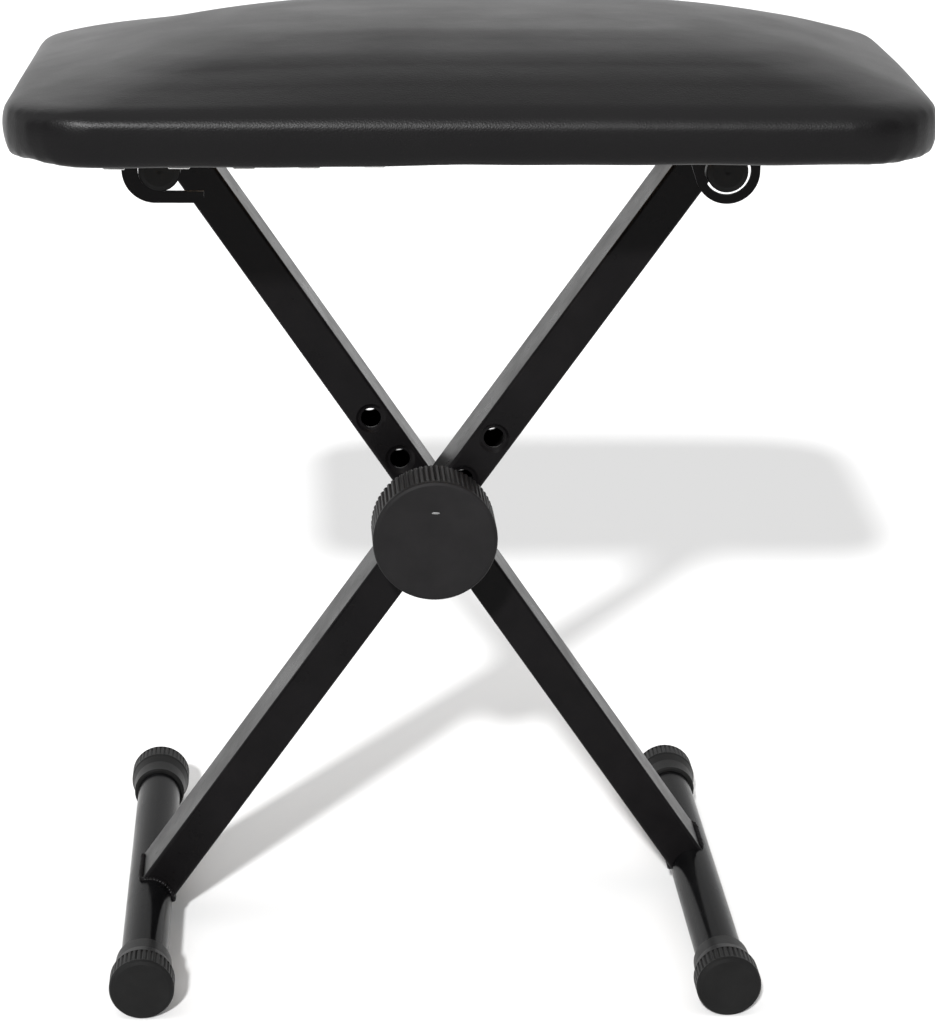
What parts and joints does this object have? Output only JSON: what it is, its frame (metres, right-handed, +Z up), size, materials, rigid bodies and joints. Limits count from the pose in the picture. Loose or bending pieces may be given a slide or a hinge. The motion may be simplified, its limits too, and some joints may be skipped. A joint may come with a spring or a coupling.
{
  "type": "folding bench",
  "caption": "Padded rectangular bench seat on a crossed-leg folding frame of steel tube, with hooked top bars and a clamp knob at the crossing.",
  "frame": {"origin": "on the floor under the middle of the seat", "axes": "+Z up, +X along the seat to the side of the hinge brackets, +Y to the back, away from the clamp knob"},
  "size_m": [0.44, 0.3, 0.4825],
  "materials": {
    "leg_paint": "satin black powder coat",
    "foot_paint": "gloss black powder coat",
    "bracket_paint": "satin black powder coat",
    "cap_plastic": "satin moulded dark grey",
    "knob_plastic": "matte moulded black",
    "spacer_plastic": "moulded black",
    "plated_steel": "zinc plated",
    "vinyl": "satin black vinyl",
    "foam": "open-cell foam",
    "board": "raw plywood"
  },
  "bodies": {
    "front_leg": {"front_leg_tube": "leg_paint", "front_top_bar": "leg_paint", "front_top_bar_plugs": "cap_plastic", "front_foot_tube": "foot_paint", "front_foot_cap_front": "cap_plastic", "front_foot_cap_rear": "cap_plastic", "leg_spacer_washer": "spacer_plastic"},
    "rear_leg": {"rear_leg_tube": "leg_paint", "rear_top_bar": "leg_paint", "rear_top_bar_plugs": "cap_plastic", "rear_foot_tube": "foot_paint", "rear_foot_cap_front": "cap_plastic", "rear_foot_cap_rear": "cap_plastic", "pivot_nut": "plated_steel"},
    "seat": {"seat_cover": "vinyl", "foam_pad": "foam", "seat_board": "board", "hinge_bracket_front": "bracket_paint", "hinge_bracket_rear": "bracket_paint", "hook_bracket_front": "bracket_paint", "hook_bracket_rear": "bracket_paint", "bracket_screws": "plated_steel"},
    "washer": {"knob_washer": "plated_steel"},
    "knob": {"pivot_knob": "knob_plastic", "pivot_bolt": "plated_steel"}
  },
  "joints": [
    {"name": "leg_fold", "type": "hinge", "parent": "front_leg", "child": "rear_leg", "pos_m": [-0.0126, 0, 0.22908], "axis": [0, 1, 0], "range_deg": [0, 60]},
    {"name": "seat_hinge", "type": "hinge", "parent": "front_leg", "child": "seat", "pos_m": [0.12266, 0, 0.42369], "axis": [0, 1, 0], "range_deg": [0, 30]},
    {"name": "bolt_pull", "type": "slide", "parent": "front_leg", "child": "washer", "axis": [0, -1, 0], "range_m": [0, 0.083]},
    {"name": "knob_turn", "type": "hinge", "parent": "washer", "child": "knob", "pos_m": [-0.0126, 0, 0.22908], "axis": [0, 1, 0], "continuous": true}
  ],
  "couplings": [
    {"joint": "seat_hinge", "follows": "leg_fold", "ratio": 0.5}
  ]
}
